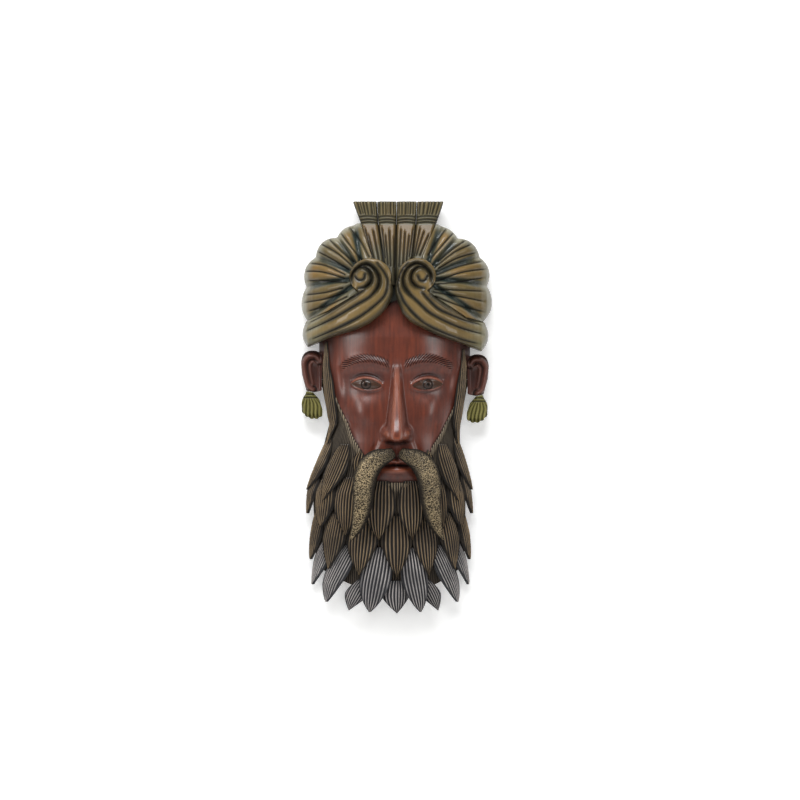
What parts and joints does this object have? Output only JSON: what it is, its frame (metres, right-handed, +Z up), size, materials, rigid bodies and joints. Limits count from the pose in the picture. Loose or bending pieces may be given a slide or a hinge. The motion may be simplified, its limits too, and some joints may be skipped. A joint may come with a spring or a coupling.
{
  "type": "carved wooden wall mask",
  "caption": "Carved and painted wooden wall mask of a bearded elder in a pleated turban, hollow behind, with a swinging D-ring hanger.",
  "frame": {"origin": "on the wall plane, at the seat where the nail bears inside the hanger's raised ring", "axes": "+Z up, the face looks along -Y, the wall is the plane Y = 0 and +X is the viewer's right"},
  "size_m": [0.281, 0.1081, 0.6],
  "materials": {
    "face_mahogany": "lacquered reddish brown stain, dark in the cuts",
    "eye_dark": "dark lacquer",
    "moustache_pale": "stippled, pale gold rubbed over dark brown",
    "turban_core": "dark stain at the front, raw wood at the back",
    "turban_olive": "olive and ochre rubbed over blue-green",
    "band_ochre": "ochre and olive with dark cut lines",
    "crest_gold": "dull gold with dark cut lines",
    "ear_brown": "lacquered reddish brown stain",
    "tassel_olive": "olive yellow with dark cut lines",
    "hair_dark": "dark brown with gold rubbed on the ridges",
    "beard_core_brown": "dark brown stain, raw inside",
    "beard_gold": "dark brown with tan gold rubbed on the ridges",
    "beard_silver": "dark grey with silver rubbed on the ridges",
    "hanger_brass": "brass plated sheet",
    "hanger_steel": "zinc plated"
  },
  "bodies": {
    "mask": {"face_shell": "face_mahogany", "eye_left": "eye_dark", "eye_right": "eye_dark", "moustache_left": "moustache_pale", "moustache_right": "moustache_pale", "headdress_core": "turban_core", "turban_fan_left": "turban_olive", "turban_fan_right": "turban_olive", "scroll_band_left": "band_ochre", "scroll_band_right": "band_ochre", "crest_sheaf_1": "crest_gold", "crest_sheaf_2": "crest_gold", "crest_sheaf_3": "crest_gold", "crest_sheaf_4": "crest_gold", "ear_left": "ear_brown", "ear_right": "ear_brown", "ear_tassel_left": "tassel_olive", "ear_tassel_right": "tassel_olive", "sideburn_left": "hair_dark", "sideburn_right": "hair_dark", "beard_core": "beard_core_brown", "hanger_strap": "hanger_brass", "hanger_screws": "hanger_steel", "beard_lock_1_1": "beard_gold", "beard_lock_1_2": "beard_gold", "beard_lock_2_1": "beard_gold", "beard_lock_2_2": "beard_gold", "beard_lock_2_3": "beard_gold", "beard_lock_2_4": "beard_gold", "beard_lock_3_1": "beard_gold", "beard_lock_3_2": "beard_gold", "beard_lock_3_3": "beard_gold", "beard_lock_3_4": "beard_gold", "beard_lock_3_5": "beard_gold", "beard_lock_3_6": "beard_gold", "beard_lock_3_7": "beard_gold", "beard_lock_3_8": "beard_gold", "beard_lock_4_1": "beard_gold", "beard_lock_4_2": "beard_gold", "beard_lock_4_3": "beard_gold", "beard_lock_4_4": "beard_gold", "beard_lock_4_5": "beard_gold", "beard_lock_4_6": "beard_gold", "beard_lock_4_7": "beard_gold", "beard_lock_5_1": "beard_silver", "beard_lock_5_2": "beard_silver", "beard_lock_5_3": "beard_silver", "beard_lock_5_4": "beard_silver", "beard_lock_5_5": "beard_silver", "beard_lock_5_6": "beard_silver", "beard_lock_6_1": "beard_silver", "beard_lock_6_2": "beard_silver", "beard_lock_6_3": "beard_silver"},
    "ring": {"hanger_ring": "hanger_steel"}
  },
  "joints": [
    {"name": "hanger_ring_swing", "type": "hinge", "parent": "mask", "child": "ring", "pos_m": [0, -0.0036, -0.0114], "axis": [-1, 0, 0], "range_deg": [0, 165]}
  ]
}
